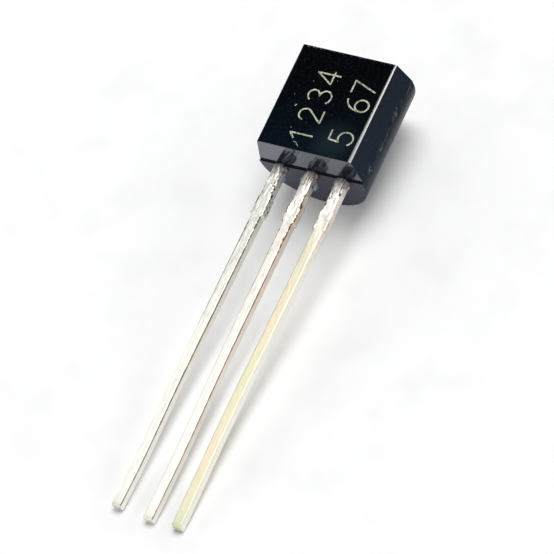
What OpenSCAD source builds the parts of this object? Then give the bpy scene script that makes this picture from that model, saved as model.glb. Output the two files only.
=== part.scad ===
// A small three-lead transistor in a moulded half-round case, lying on a table.
//
// Lengths are in millimetres. Every piece is drawn in the case's own directions:
// X across the leads, Y from the lead tips towards the top of the case and Z out of the flat.
// Z = 0 is the plane where the two halves of the mould part, and the front faces of the
// leads lie in it. Y = 0 is the lead end of the front half.
// lay_down() then turns each piece by the few degrees at which the whole transistor comes
// to rest, on the edge of its rounded back and the tips of its leads, with the flat up.

/* [Case] */
// Width of the flat, before its long edges are bevelled
flat_w = 3.83; // [3.5:0.01:3.95]
// Radius of the rounded back
back_r = 2.12; // [2.08:0.01:2.4]
// How far the centre of the rounded back lies behind the parting plane
back_centre = 0.1; // [0.05:0.01:0.3]
// Depth of the front half, from the flat to the parting plane
front_d = 1.14; // [0.9:0.01:1.5]
// Height of the front half at the parting plane
case_h = 4.4; // [4.2:0.05:5.2]
// How far each end of the front half leans in, over its depth
front_draft = 0.11; // [0.02:0.01:0.2]
// How far each end of the back half leans in, over its depth
back_draft = 0.06; // [0.02:0.01:0.12]
// How far the back half stands out past the front half at the lead end
lip = 0.07; // [0.02:0.01:0.15]
// Bevel along the two long edges of the flat
flat_bevel = 0.08; // [0.03:0.01:0.2]

/* [Leads] */
// Distance from one lead to the next
pitch = 1.27; // [1.2:0.01:1.35]
// Thickness of the lead frame's metal
lead_t = 0.36; // [0.3:0.01:0.45]
// Width of a lead beyond the stubs of the tie bars
lead_w = 0.4; // [0.34:0.01:0.44]
// Length of the collector and base leads, from the front half of the case
lead_len = 14.45; // [10:0.05:20]
// How much shorter the emitter lead was cut
short_by = 0.18; // [0:0.01:0.5]
// Width of a lead where it leaves the case
root_w = 0.44; // [0.4:0.01:0.5]
// Length of that stretch
root_len = 1.35; // [0.8:0.05:1.6]
// Width of the stretch where the tie bars between the leads were cut off
tie_w = 0.52; // [0.51:0.01:0.6]
// Length of the stretch with the stubs of the tie bars
tie_len = 0.7; // [0.4:0.05:1.2]
// Length of each slope from one width to the next
shoulder = 0.08; // [0.04:0.01:0.2]

/* [Lead frame inside the case] */
// Width of the waist that locks each lead in the resin
lock_w = 0.3; // [0.22:0.01:0.38]
// Distance from the lead end of the case to the waist
lock_in = 0.35; // [0.2:0.05:0.5]
// Length of the waist
lock_len = 0.3; // [0.2:0.05:0.5]
// Width of the post that ends the emitter lead and the base lead
post_w = 0.7; // [0.6:0.01:0.8]
// Distance from the lead end of the case to the end of a post
post_top = 2.6; // [2.2:0.05:2.9]
// Width of the collector's pad, which carries the die
pad_w = 1.46; // [1.1:0.02:1.56]
// Distance from the lead end of the case to the pad
pad_in = 1.3; // [1.2:0.05:1.5]
// Length of the pad
pad_len = 2; // [1.6:0.05:2.4]

/* [Die and wires] */
// Side of the square silicon die
die_w = 0.5; // [0.35:0.01:0.7]
// Thickness of the die
die_t = 0.2; // [0.1:0.01:0.3]
// Thickness of the layer that bonds the die to its pad
attach_t = 0.03; // [0.01:0.005:0.05]
// How far that layer shows past each side of the die
attach_rim = 0.04; // [0.01:0.01:0.08]
// Diameter of a bond wire
wire_d = 0.03; // [0.02:0.005:0.05]
// Rise of a wire's loop above the die
loop_rise = 0.2; // [0.12:0.01:0.4]
// Distance from the die's centre to each wire's ball
ball_x = 0.12; // [0.08:0.01:0.14]
// Radius of the ball
ball_r = 0.04; // [0.035:0.005:0.05]
// Height of the ball
ball_h = 0.02; // [0.015:0.005:0.03]
// Length of the flattened stitch that ends a wire on its post
stitch_len = 0.08; // [0.05:0.01:0.12]
// Width of the stitch at its end
stitch_w = 0.07; // [0.05:0.005:0.1]
// Thickness of the stitch at its end
stitch_t = 0.01; // [0.005:0.001:0.015]

/* [Hidden] */
$fn = 96;

// The case at its parting plane and at the deepest point of its back.
split_w = 2 * sqrt(back_r * back_r - back_centre * back_centre);
back_d = back_r + back_centre;

// At rest one line touches the lead tips and the lead end of the rounded back.
touch_y = back_draft - lip;
rest_tilt = atan2(back_d - lead_t, lead_len + touch_y);
rest_lift = lead_len * sin(rest_tilt) + lead_t * cos(rest_tilt);
tip_reach = lead_len * cos(rest_tilt);
top_reach = (case_h - back_draft) * cos(rest_tilt) + back_d * sin(rest_tilt);

// Where the die sits on its pad, and the height of its upper face.
die_y = pad_in + pad_len / 2;
die_top = attach_t + die_t;

// Sides of a wire's cross-section, and points along its loop.
wire_sides = 8;
loop_steps = 10;
across_flats = cos(180 / wire_sides);

// The loop's shape: how far it is pulled up from the ball, in rises of the loop, and the
// share of its reach over which it nears its post level. The ball's widest part ends short
// of its top by a share of its height.
loop_pull = 2.5;
level_share = 0.35;
crown_share = 0.25;

// Turns a piece to the pose of rest. The origin is then under the middle of the whole
// transistor, on the table.
module lay_down() {
    translate([0, (tip_reach - top_reach) / 2, rest_lift])
        rotate([rest_tilt, 0, 0])
            children();
}

// Outline of the front half seen along the leads: sides that flare from the flat to the
// parting plane, with the flat's two corners bevelled.
module front_outline() {
    flare = (split_w - flat_w) / 2;
    bevel_drop = flat_bevel * front_d / norm([flare, front_d]);
    bevel_out = flat_w / 2 + flare * bevel_drop / front_d;
    polygon([
        [-split_w / 2, 0],
        [split_w / 2, 0],
        [bevel_out, front_d - bevel_drop],
        [flat_w / 2 - flat_bevel, front_d],
        [flat_bevel - flat_w / 2, front_d],
        [-bevel_out, front_d - bevel_drop]
    ]);
}

// Outline of the back half seen along the leads: the round, cut off at the parting plane.
module back_outline() {
    intersection() {
        translate([0, -back_centre])
            circle(r = back_r);
        translate([-back_r, -back_d])
            square([2 * back_r, back_d]);
    }
}

// An outline seen along the leads, drawn out over more than the height of the case.
module along_leads() {
    translate([0, 2 * case_h, 0])
        rotate([90, 0, 0])
            linear_extrude(height = 3 * case_h)
                children();
}

// A side view (Y to the right, Z up), drawn out over more than the width of the case.
module across_leads() {
    rotate([90, 0, 90])
        linear_extrude(height = 4 * back_r, center = true)
            children();
}

// The front half: flared sides, and ends that lean in towards the flat.
module front_half() {
    intersection() {
        along_leads() front_outline();
        across_leads()
            polygon([
                [0, 0],
                [case_h, 0],
                [case_h - front_draft, front_d],
                [front_draft, front_d]
            ]);
    }
}

// The back half: the round, with ends that lean in towards the back. At the lead end it
// stands out by the lip.
module back_half() {
    intersection() {
        along_leads() back_outline();
        across_leads()
            polygon([
                [-lip, 0],
                [case_h, 0],
                [case_h - back_draft, -back_d],
                [touch_y, -back_d]
            ]);
    }
}

// A strip of the lead frame about the line at x, from a list of [y, width] stations.
module strip(x, stations) {
    last = len(stations) - 1;
    right = [for (s = stations) [s[1] / 2, s[0]]];
    left = [for (i = [last:-1:0]) [-stations[i][1] / 2, stations[i][0]]];
    translate([x, 0, -lead_t])
        linear_extrude(height = lead_t)
            polygon(concat(right, left));
}

// Stations of a lead outside the case, from its cut tip up to the root.
function outside(length) = let (
    root_end = -root_len,
    tie_start = root_end - shoulder,
    tie_end = tie_start - tie_len,
    lead_start = tie_end - shoulder
) [
    [-length, lead_w],
    [lead_start, lead_w],
    [tie_end, tie_w],
    [tie_start, tie_w],
    [root_end, root_w]
];

// Stations of the waist that every lead has just inside the case.
waist = [
    [lock_in, root_w],
    [lock_in, lock_w],
    [lock_in + lock_len, lock_w]
];

// A lead that ends in a post beside the pad.
module post_strip(x, length) {
    post = [
        [lock_in + lock_len, post_w],
        [post_top, post_w]
    ];
    strip(x, concat(outside(length), waist, post));
}

// The middle lead, which ends in the pad.
module pad_strip() {
    pad = [
        [lock_in + lock_len, root_w],
        [pad_in, root_w],
        [pad_in, pad_w],
        [pad_in + pad_len, pad_w]
    ];
    strip(0, concat(outside(lead_len), waist, pad));
}

module die_block() {
    translate([-die_w / 2, die_y - die_w / 2, attach_t])
        cube([die_w, die_w, die_t]);
}

module attach_layer() {
    side = die_w + 2 * attach_rim;
    translate([-side / 2, die_y - side / 2, 0])
        cube([side, side, attach_t]);
}

function unit(v) = v / norm(v);

// A point on a cubic curve with control points p, and the direction of the curve there.
function curve_at(p, u) =
    pow(1 - u, 3) * p[0] + 3 * pow(1 - u, 2) * u * p[1]
    + 3 * (1 - u) * u * u * p[2] + pow(u, 3) * p[3];
function curve_way(p, u) = unit(
    pow(1 - u, 2) * (p[1] - p[0]) + 2 * (1 - u) * u * (p[2] - p[1])
    + u * u * (p[3] - p[2]));

// A wire is a list of sections [centre, direction, half width, half thickness]: the ball on
// the die, the loop, and the stitch that is pressed flat on the post. toward is -1 for the
// emitter's side and 1 for the base's.
function wire_sections(toward) = let (
    up = [0, 0, 1],
    out = [toward, 0, 0],
    ball = [toward * ball_x, die_y, die_top],
    neck = ball + ball_h * up,
    land = [toward * pitch, die_y, wire_d / 2 * across_flats],
    reach = abs(land[0] - neck[0]),
    lift = neck + loop_pull * loop_rise * up,
    level = land - level_share * reach * out,
    loop = [neck, lift, level, land],
    stitch_end = [land[0], land[1], stitch_t / 2 * across_flats] + stitch_len * out
) concat(
    [[ball, up, ball_r, ball_r], [neck - crown_share * ball_h * up, up, ball_r, ball_r]],
    [for (i = [0:loop_steps])
        let (u = i / loop_steps)
            [curve_at(loop, u), curve_way(loop, u), wire_d / 2, wire_d / 2]],
    [[stitch_end, out, stitch_w / 2, stitch_t / 2]]
);

// The closed skin over a list of sections, whose flat sides face the die and the post.
module wire_skin(sections) {
    side = [0, 1, 0];
    last = len(sections) - 1;
    n = wire_sides;
    points = [for (s = sections)
        let (over = cross(s[1], side))
            for (k = [0:n - 1])
                let (a = 360 * (k + 0.5) / n)
                    s[0] + s[2] * cos(a) * side + s[3] * sin(a) * over];
    walls = [for (i = [0:last - 1], k = [0:n - 1])
        let (a = i * n + k, b = i * n + (k + 1) % n)
            for (t = [[a, a + n, b], [b, a + n, b + n]]) t];
    start = [for (k = [0:n - 1]) k];
    end = [for (k = [n - 1:-1:0]) last * n + k];
    polyhedron(points, concat([start], walls, [end]));
}

// What the resin is moulded round.
module insides() {
    post_strip(-pitch, lead_len - short_by);
    pad_strip();
    post_strip(pitch, lead_len);
    attach_layer();
    die_block();
    wire_skin(wire_sections(-1));
    wire_skin(wire_sections(1));
}

module moulded_case() {
    color([0.06, 0.065, 0.08])
        lay_down()
            difference() {
                union() {
                    front_half();
                    back_half();
                }
                insides();
            }
}

module emitter_lead() {
    color([0.82, 0.81, 0.77])
        lay_down() post_strip(-pitch, lead_len - short_by);
}

module collector_lead() {
    color([0.82, 0.81, 0.77])
        lay_down() pad_strip();
}

module base_lead() {
    color([0.8, 0.77, 0.64])
        lay_down() post_strip(pitch, lead_len);
}

module silicon_die() {
    color([0.4, 0.42, 0.47])
        lay_down() die_block();
}

module die_attach() {
    color([0.7, 0.7, 0.68])
        lay_down() attach_layer();
}

module emitter_wire() {
    color([0.9, 0.7, 0.25])
        lay_down() wire_skin(wire_sections(-1));
}

module base_wire() {
    color([0.9, 0.7, 0.25])
        lay_down() wire_skin(wire_sections(1));
}

moulded_case();
emitter_lead();
collector_lead();
base_lead();
silicon_die();
die_attach();
emitter_wire();
base_wire();
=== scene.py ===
# %% [markdown]
# # A small transistor on three tinned leads
#
# The real object is a half-round case of black moulding resin, about 4 mm wide, with three
# thin tinned leads that stick out of one end. It lies on a white table with its flat up,
# so it rests on the edge of its rounded back and on the tips of its leads.
#
# The CAD model is loaded first and isn't changed. It says where everything is. The pieces
# made here stand for the CAD nodes that show, and add what a plain solid can't have: small
# roundings, a chipped parting line, lumpy tin, marks and dust.

# %% Load the frame
import math

import bmesh
import bpy
from mathutils import Matrix, Vector, noise


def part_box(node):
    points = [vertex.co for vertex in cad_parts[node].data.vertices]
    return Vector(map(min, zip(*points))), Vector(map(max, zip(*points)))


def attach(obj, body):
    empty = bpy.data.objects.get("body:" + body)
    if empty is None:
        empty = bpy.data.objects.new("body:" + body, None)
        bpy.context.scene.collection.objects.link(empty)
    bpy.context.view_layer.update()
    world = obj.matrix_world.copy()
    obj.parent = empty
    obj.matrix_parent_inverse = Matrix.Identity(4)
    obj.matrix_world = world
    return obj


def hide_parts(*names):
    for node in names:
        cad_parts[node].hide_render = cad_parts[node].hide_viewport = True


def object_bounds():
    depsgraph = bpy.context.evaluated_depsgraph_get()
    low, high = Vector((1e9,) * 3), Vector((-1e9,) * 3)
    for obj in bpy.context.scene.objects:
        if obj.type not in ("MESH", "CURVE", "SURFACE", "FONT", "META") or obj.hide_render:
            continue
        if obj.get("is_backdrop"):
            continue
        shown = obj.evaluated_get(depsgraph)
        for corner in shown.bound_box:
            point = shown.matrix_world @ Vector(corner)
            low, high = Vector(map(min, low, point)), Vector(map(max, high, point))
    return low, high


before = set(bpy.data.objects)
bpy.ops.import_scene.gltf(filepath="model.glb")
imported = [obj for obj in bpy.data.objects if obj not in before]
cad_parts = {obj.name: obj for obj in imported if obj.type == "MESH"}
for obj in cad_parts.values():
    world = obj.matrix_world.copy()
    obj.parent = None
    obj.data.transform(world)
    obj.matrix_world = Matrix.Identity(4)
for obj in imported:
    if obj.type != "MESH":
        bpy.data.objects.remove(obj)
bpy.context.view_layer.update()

# %% [markdown]
# ## Sizes
#
# A script that builds round a CAD model needs the same sizes as the CAD. They are named
# here once, in millimetres, in the case's own directions: X across the leads, Y from the
# tips towards the top of the case, Z out of the flat, with Z = 0 where the mould parts.
# `rest` then turns a point by the few degrees at which the part lies, and makes metres of
# millimetres. The boxes of two CAD nodes are compared with these sizes, to be sure.

# %% The sizes of the case and the leads
MM = 0.001
FLAT_W, FRONT_D, BACK_R, BACK_CENTRE = 3.83, 1.14, 2.12, 0.10
CASE_H, FRONT_DRAFT, BACK_DRAFT, LIP = 4.40, 0.11, 0.06, 0.07
PITCH, LEAD_T, LEAD_W, LEAD_LEN, SHORT_BY = 1.27, 0.36, 0.40, 14.45, 0.18
ROOT_W, ROOT_LEN, TIE_W, TIE_LEN, SHOULDER = 0.44, 1.35, 0.52, 0.70, 0.08
LOCK_W, LOCK_IN, LOCK_LEN = 0.30, 0.35, 0.30
POST_W, POST_TOP, PAD_W, PAD_IN, PAD_LEN = 0.70, 2.60, 1.46, 1.30, 2.00

SPLIT_W = 2 * math.sqrt(BACK_R**2 - BACK_CENTRE**2)
BACK_D = BACK_R + BACK_CENTRE
FLARE = (SPLIT_W - FLAT_W) / 2
TOUCH_Y = BACK_DRAFT - LIP
TILT = math.atan2(BACK_D - LEAD_T, LEAD_LEN + TOUCH_Y)
LIFT = LEAD_LEN * math.sin(TILT) + LEAD_T * math.cos(TILT)
SHIFT = (
    LEAD_LEN * math.cos(TILT)
    - (CASE_H - BACK_DRAFT) * math.cos(TILT)
    - BACK_D * math.sin(TILT)
) / 2
REST = Matrix.Translation((0, SHIFT, LIFT)) @ Matrix.Rotation(TILT, 4, "X")
TO_CASE = REST.to_3x3().inverted()


def rest(x, y, z):
    """A point in the case's directions, in mm, as a point in the room, in metres."""
    return MM * (REST @ Vector((x, y, z)))


def in_case(point):
    """A point in the room, in metres, as a point in the case's directions, in mm."""
    return REST.inverted() @ (point / MM)


for node, x, length in (
    ("emitter_lead", -PITCH, LEAD_LEN - SHORT_BY),
    ("base_lead", PITCH, LEAD_LEN),
):
    corners = [
        rest(x + side * w / 2, y, z)
        for side in (-1, 1)
        for y, w in ((-length, LEAD_W), (-ROOT_LEN - SHOULDER, TIE_W), (POST_TOP, POST_W))
        for z in (0, -LEAD_T)
    ]
    box = [pick(axis) for pick in (min, max) for axis in zip(*corners)]
    low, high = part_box(node)
    worst = max(abs(a - b) for a, b in zip(box, (*low, *high)))
    print(f"{node}: agrees with the sizes to {1e6 * worst:.2f} micrometres")
    assert worst < 0.01 * MM, "the sizes above have to be those of the CAD"

# %% [markdown]
# ## Camera
#
# The object is seen from about 50 degrees above the table, from halfway between the side
# of the tips and the right, with the camera itself turned, so the leads run to the lower
# left. A long lens at 20 cm keeps parallel edges nearly parallel.

# %% Camera
def linked(name, data):
    """An object in the scene that shows some data, at the origin and unturned."""
    made = bpy.data.objects.new(name, data)
    bpy.context.scene.collection.objects.link(made)
    return made


VIEW_FROM, VIEW_DOWN, VIEW_TURN = (math.radians(a) for a in (43.973, 49.475, -22.187))
VIEW_DISTANCE, LENS = 200 * MM, 368.82
looked_at = MM * Vector((0.5936, 0.5630, 1.6481))
ahead = Vector((
    -math.sin(VIEW_FROM) * math.cos(VIEW_DOWN),
    math.cos(VIEW_FROM) * math.cos(VIEW_DOWN),
    -math.sin(VIEW_DOWN),
))
level = ahead.cross(Vector((0, 0, 1))).normalized()
above = level.cross(ahead)
across = level * math.cos(VIEW_TURN) + above * math.sin(VIEW_TURN)
upward = above * math.cos(VIEW_TURN) - level * math.sin(VIEW_TURN)

camera = linked("camera", bpy.data.cameras.new("camera"))
camera.data.lens = LENS
camera.data.clip_start, camera.data.clip_end = 0.01, 10
stand = looked_at - VIEW_DISTANCE * ahead
turn = Matrix((across, upward, -ahead)).transposed().to_4x4()
camera.matrix_world = Matrix.Translation(stand) @ turn
bpy.context.scene.camera = camera
print("camera at", [round(v, 4) for v in stand], "m")

# %% [markdown]
# ## Shader helpers
#
# A material is a graph of nodes. A few helpers keep the graphs short: `give` fills in a
# node's inputs, `add` adds a node and hands back one of its outputs, and the others make
# the nodes that are used most. `case_space` gives the Object coordinates in the case's own
# directions, in millimetres. Mapping does it, with the turn of `rest` undone, so every
# pattern below is given in real sizes and runs along the case and the leads.

# %% Nodes and materials
def give(node, inputs):
    """Fills in inputs, as {name or number: value or output socket}."""
    for key, value in inputs.items():
        if isinstance(value, bpy.types.NodeSocket):
            node.id_data.links.new(value, node.inputs[key])
        else:
            node.inputs[key].default_value = value
    return node


def add(tree, kind, inputs=None, output=0, **settings):
    """A new node with its settings and its inputs filled in: one of its outputs."""
    new = tree.nodes.new(kind)
    for key, value in settings.items():
        setattr(new, key, value)
    return give(new, inputs or {}).outputs[output]


def new_material(name):
    """A material with a Principled BSDF: the material, its tree and that shader."""
    made = bpy.data.materials.new(name)
    made.use_nodes = True
    return made, made.node_tree, made.node_tree.nodes["Principled BSDF"]


def new_group(name, kind, inputs, outputs):
    """A node group with sockets {name: kind}: itself, its inputs and its output node."""
    group = bpy.data.node_groups.new(name, kind)
    for side, sockets in (("INPUT", inputs), ("OUTPUT", outputs)):
        for label, socket in sockets.items():
            group.interface.new_socket(label, in_out=side, socket_type="NodeSocket" + socket)
    nodes = group.nodes
    return group, nodes.new("NodeGroupInput").outputs, nodes.new("NodeGroupOutput")


# %% Coordinates, sums and colours
def case_space(tree):
    """Object coordinates in the case's directions, in millimetres."""
    return add(tree, "ShaderNodeMapping", {
        "Vector": add(tree, "ShaderNodeTexCoord", output="Object"),
        "Location": -(TO_CASE @ Vector((0, SHIFT, LIFT))),
        "Rotation": (-TILT, 0, 0),
        "Scale": (1 / MM, 1 / MM, 1 / MM),
    })


def maths(tree, operation, a, b, c=0.0, clamp=False):
    """One sum: "MULTIPLY_ADD" is a * b + c, and the others use two values."""
    return add(tree, "ShaderNodeMath", {0: a, 1: b, 2: c},
               operation=operation, use_clamp=clamp)


def share_along(tree, space, length):
    """How far up the case or down a lead a point is, as a share of the length."""
    y = add(tree, "ShaderNodeSeparateXYZ", {0: space}, output=1)
    return maths(tree, "DIVIDE", y, length)


def clouds(tree, vector, scale, detail, rough=0.5):
    """The value of a noise texture."""
    return add(tree, "ShaderNodeTexNoise", {
        "Vector": vector, "Scale": scale, "Detail": detail, "Roughness": rough})


def attribute(tree, name):
    """A value that the mesh carries at its points."""
    return add(tree, "ShaderNodeAttribute", output="Fac", attribute_name=name)


def ramp(tree, value, stops):
    """A colour ramp. Stops are (place, grey) or (place, red, green, blue)."""
    colour = add(tree, "ShaderNodeValToRGB", {0: value})
    band = colour.node.color_ramp
    while len(band.elements) < len(stops):
        band.elements.new(0.5)
    for mark, (place, *tone) in zip(band.elements, stops):
        mark.position = place
        mark.color = (*(tone if len(tone) == 3 else 3 * tone), 1)
    return colour


def blend(tree, share, a, b):
    """A mix of two colours."""
    return add(tree, "ShaderNodeMix", {0: share, 6: a, 7: b}, output=2, data_type="RGBA")


def bumps(tree, height, strength, depth):
    """A normal made uneven by a height, with its depth in millimetres."""
    return add(tree, "ShaderNodeBump", {
        "Height": height, "Strength": strength, "Distance": depth * MM})

# %% [markdown]
# ## A grain group
#
# Resin, tin and dried flux all have fine grain, each at its own size. A shader node group
# is built once and placed in each material with its own numbers, in millimetres. It gives
# out a value for the height of a Bump node and a slow variation that can shift colour or
# gloss. Stretch draws the grain out along the leads.

# %% Grain group
GRAIN, given, result = new_group("grain", "ShaderNodeTree", {
    "Vector": "Vector", "Grain size": "Float", "Patch size": "Float", "Stretch": "Float"
}, {"Height": "Float", "Patches": "Float"})
squeeze = add(GRAIN, "ShaderNodeCombineXYZ", {
    0: 1.0, 1: maths(GRAIN, "DIVIDE", 1.0, given["Stretch"]), 2: 1.0})
drawn = add(GRAIN, "ShaderNodeVectorMath", {0: given["Vector"], 1: squeeze},
            operation="MULTIPLY")
grain_scale = maths(GRAIN, "DIVIDE", 1.0, given["Grain size"])
patch_scale = maths(GRAIN, "DIVIDE", 1.0, given["Patch size"])
give(result, {
    "Height": clouds(GRAIN, drawn, grain_scale, 3.0, 0.6),
    "Patches": clouds(GRAIN, given["Vector"], patch_scale, 4.0, 0.55),
})


def grain(tree, vector, size, patch, stretch=1.0):
    """The grain group placed in a material: (height, patches)."""
    return add(tree, "ShaderNodeGroup", {
        "Vector": vector, "Grain size": size, "Patch size": patch, "Stretch": stretch
    }, node_tree=GRAIN).node.outputs


print("grain group with", len(GRAIN.nodes), "nodes")

# %% [markdown]
# ## Moulding resin
#
# The case is silica-filled resin, pressed in a mould: black with a touch of blue, and
# covered in a very fine grain. One function makes six finishes of it. The mould is
# polished where the flat and the front end are, so these are glossy enough to mirror what
# is in front of them. The sides, the back and the back's end are satin or matt, with paler
# grains of filler. The facet on the flat's right edge mirrors the lamp, and its paler grey
# is painted highlight. The top of the lip is dull black, which is painted shade in the
# step. Each finish changes a little up the case, which keeps it from looking like glass.
# On the flat, the bluer tone towards the lead end and a bluish patch low on it are
# painted reflection.

# %% Resin material
FILLER, FRESH_CHIP = (0.07, 0.075, 0.09, 1), (0.10, 0.107, 0.12, 1)
# A bluish patch low on the flat, and its middle: painted reflection.
PAINTED_REFLECTION, PAINTED_REFLECTION_AT = (0.020, 0.038, 0.045, 1), (0.9, 0.75, FRONT_D)


def make_resin(name, tones, gloss, ior, level, painted_reflection=0.0, speckled=0.0, tint=(1, 1, 1)):
    """Resin of one tone or of a lower and an upper one, and with gloss likewise."""
    made, tree, skin = new_material(name)
    space = case_space(tree)
    height, patches = grain(tree, space, 0.035, 0.9)
    place = maths(tree, "MULTIPLY_ADD", patches, 0.5, share_along(tree, space, CASE_H))
    spread = maths(tree, "MULTIPLY", place, 0.8)
    tone = ramp(tree, spread, ((0.2, *tones[0]), (0.7, *tones[-1])))
    # The bluish patch round its middle on the flat is painted reflection.
    if painted_reflection:
        away = add(tree, "ShaderNodeVectorMath", {0: space, 1: PAINTED_REFLECTION_AT}, output="Value",
                   operation="DISTANCE")
        tone = blend(tree, ramp(tree, away, ((0.2, painted_reflection), (1.0, 0.0))), tone, PAINTED_REFLECTION)
    grains = ramp(tree, clouds(tree, space, 16.0, 1.0), ((0.55, 0.0), (0.72, speckled)))
    tone = blend(tree, grains, tone, FILLER)
    give(skin, {
        "Base Color": blend(tree, attribute(tree, "chip"), tone, FRESH_CHIP),
        "Roughness": ramp(tree, spread, ((0.2, gloss[0]), (0.9, gloss[-1]))),
        "IOR": ior, "Specular IOR Level": level, "Specular Tint": (*tint, 1),
        "Normal": bumps(tree, height, 0.2, 0.001),
    })
    return made


# On the flat, the bluer tone towards the lead end and the bluish patch are painted reflection.
POLISHED = make_resin("polished_resin", [(0.001, 0.004, 0.008), (0.001, 0.0012, 0.002)],
                      [0.125, 0.06], 1.6, 0.5, painted_reflection=0.35, speckled=0.1)
SATIN = make_resin("satin_resin", [(0.005, 0.011, 0.022), (0.003, 0.007, 0.014)],
                   [0.26, 0.30], 1.5, 0.04, speckled=0.12)
END_FACE = make_resin("end_resin", [(0.004, 0.006, 0.016)], [0.07], 2.3, 0.5,
                      speckled=0.3, tint=(0.84, 0.90, 1.0))
MATT_END = make_resin("matt_end_resin", [(0.013, 0.013, 0.034)], [0.42], 1.6, 0.35,
                      speckled=0.4)
# The facet on the flat's right edge mirrors the lamp; its paler grey is painted highlight.
HIGHLIGHT_EDGE = make_resin("edge_highlight_resin", [(0.05, 0.052, 0.045), (0.03, 0.03, 0.03)],
                       [0.32, 0.18], 2.2, 0.5)
# The top of the lip is dull black: painted shade in the step.
LIP_SHADE = make_resin("lip_shade_resin", [(0.001, 0.001, 0.002)], [0.5], 1.5, 0.15)
FINISHES = (POLISHED, SATIN, END_FACE, MATT_END, HIGHLIGHT_EDGE, LIP_SHADE)
print("finishes of resin:", [finish.name for finish in FINISHES])

# %% [markdown]
# ## The case
#
# Seen along the leads, the case is a loop: two flared sides, a flat with bevelled edges and
# a round back. The two halves of the mould lean in by different drafts, and the back half
# stands out by a small lip at the lead end. So the mesh is built by hand with bmesh: each
# point of the loop gets a low and a high vertex, walls join them, and flat caps close the
# ends. A Bevel modifier then rounds every sharp edge by a hundredth of a millimetre, which
# makes an edge catch the light, and Weighted Normal keeps the flats flat.
#
# The resin is chipped along the line where the halves of the mould meet. So the walls
# beside this line are divided finely. Noise picks some of their points, and pushes them in.
# The same points get a value in the attribute `chip`, and the material makes them paler.

# %% Outline of the case
ARC_STEPS = 96
SIDE_STEPS = (0.05, 0.11, 0.18, 0.30)
FACET_LOW, FACET_TOP, FACET_LEAN, FACET_INSET = 0.120, 0.078, math.radians(11.0), 0.014


def front_ends(z):
    """Where the front half starts and ends at height z."""
    lean = FRONT_DRAFT * z / FRONT_D
    return lean, CASE_H - lean


def back_ends(z):
    """Where the back half starts and ends at height z, below the parting plane."""
    lean = BACK_DRAFT * -z / BACK_D
    return lean - LIP, CASE_H - lean


def front_loop(facet_w):
    """The front half seen along the leads, with facets of a given width."""
    drop = facet_w * math.sin(FACET_LEAN)
    facet_end = FLAT_W / 2 - FACET_INSET
    half = [
        (FLAT_W / 2 + FLARE * (FRONT_D - z) / FRONT_D, z)
        for z in (0, *SIDE_STEPS, FRONT_D - drop - FACET_INSET)
    ]
    inner = facet_end - facet_w * math.cos(FACET_LEAN)
    half += [(facet_end, FRONT_D - drop), (inner, FRONT_D)]
    return half + [(-x, z) for x, z in reversed(half)]


def back_loop():
    """The back half seen along the leads, from one side to the other."""
    start = math.asin(BACK_CENTRE / BACK_R)
    loop = []
    for i in range(ARC_STEPS + 1):
        a = math.pi - start + i * (math.pi + 2 * start) / ARC_STEPS
        x = max(-SPLIT_W / 2, min(SPLIT_W / 2, BACK_R * math.cos(a)))
        loop.append((x, BACK_R * math.sin(a) - BACK_CENTRE))
    loop[0], loop[-1] = (-SPLIT_W / 2, 0), (SPLIT_W / 2, 0)
    return loop


print("points round the case:", len(front_loop(FACET_LOW)) + len(back_loop()) - 2)

# %% Chips beside the parting line
CHIP_COLUMNS, CHIP_ROWS = 6, 130
CHIP_DEPTH, CHIP_REACH = 0.04, 0.27


def eased(t):
    """0 below 0, 1 above 1, and a smooth rise between."""
    t = min(1.0, max(0.0, t))
    return t * t * (3 - 2 * t)


def column(bm, low, high, chipped):
    """Points up the wall, close enough together to be bitten where it is chipped."""
    start, end = low.co.copy(), high.co.copy()
    steps = range(1, CHIP_ROWS) if chipped else ()
    return [low] + [bm.verts.new(start.lerp(end, k / CHIP_ROWS)) for k in steps] + [high]


def wall(bm, a, b):
    """Faces between two columns."""
    if len(a) == len(b) > 2:
        for k in range(CHIP_ROWS):
            bm.faces.new((a[k], a[k + 1], b[k + 1], b[k]))
    else:
        bm.faces.new([*a, *reversed(b)])


def bite(v, chip):
    """Pushes a point in where noise says that the resin is chipped, and notes it."""
    at = in_case(v.co)
    ragged = noise.noise(Vector((at.z * 5, at.y * 2.2, at.x)))
    fleck = noise.noise(Vector((at.z * 17, at.y * 11, at.x)))
    bitten = eased((ragged + 0.03 - 1.6 * abs(at.z + 0.02)) / 0.25)
    bitten *= eased((CHIP_REACH - abs(at.z)) / 0.08)
    inwards = REST.to_3x3() @ Vector((1, 0, 0)) * math.copysign(MM, at.x)
    v.co -= inwards * CHIP_DEPTH * bitten * max(0.0, 0.6 + fleck)
    v[chip] = bitten * eased((fleck - 0.05) / 0.3)


# %% Case mesh
def plain_mesh(name, build, *finishes):
    """A smooth mesh object made by build(bm), with its place in its mesh."""
    bm = bmesh.new()
    build(bm)
    for face in bm.faces:
        face.smooth = True
    mesh = bpy.data.meshes.new(name)
    bm.to_mesh(mesh)
    bm.free()
    for finish in finishes:
        mesh.materials.append(finish)
    return linked(name, mesh)


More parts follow.
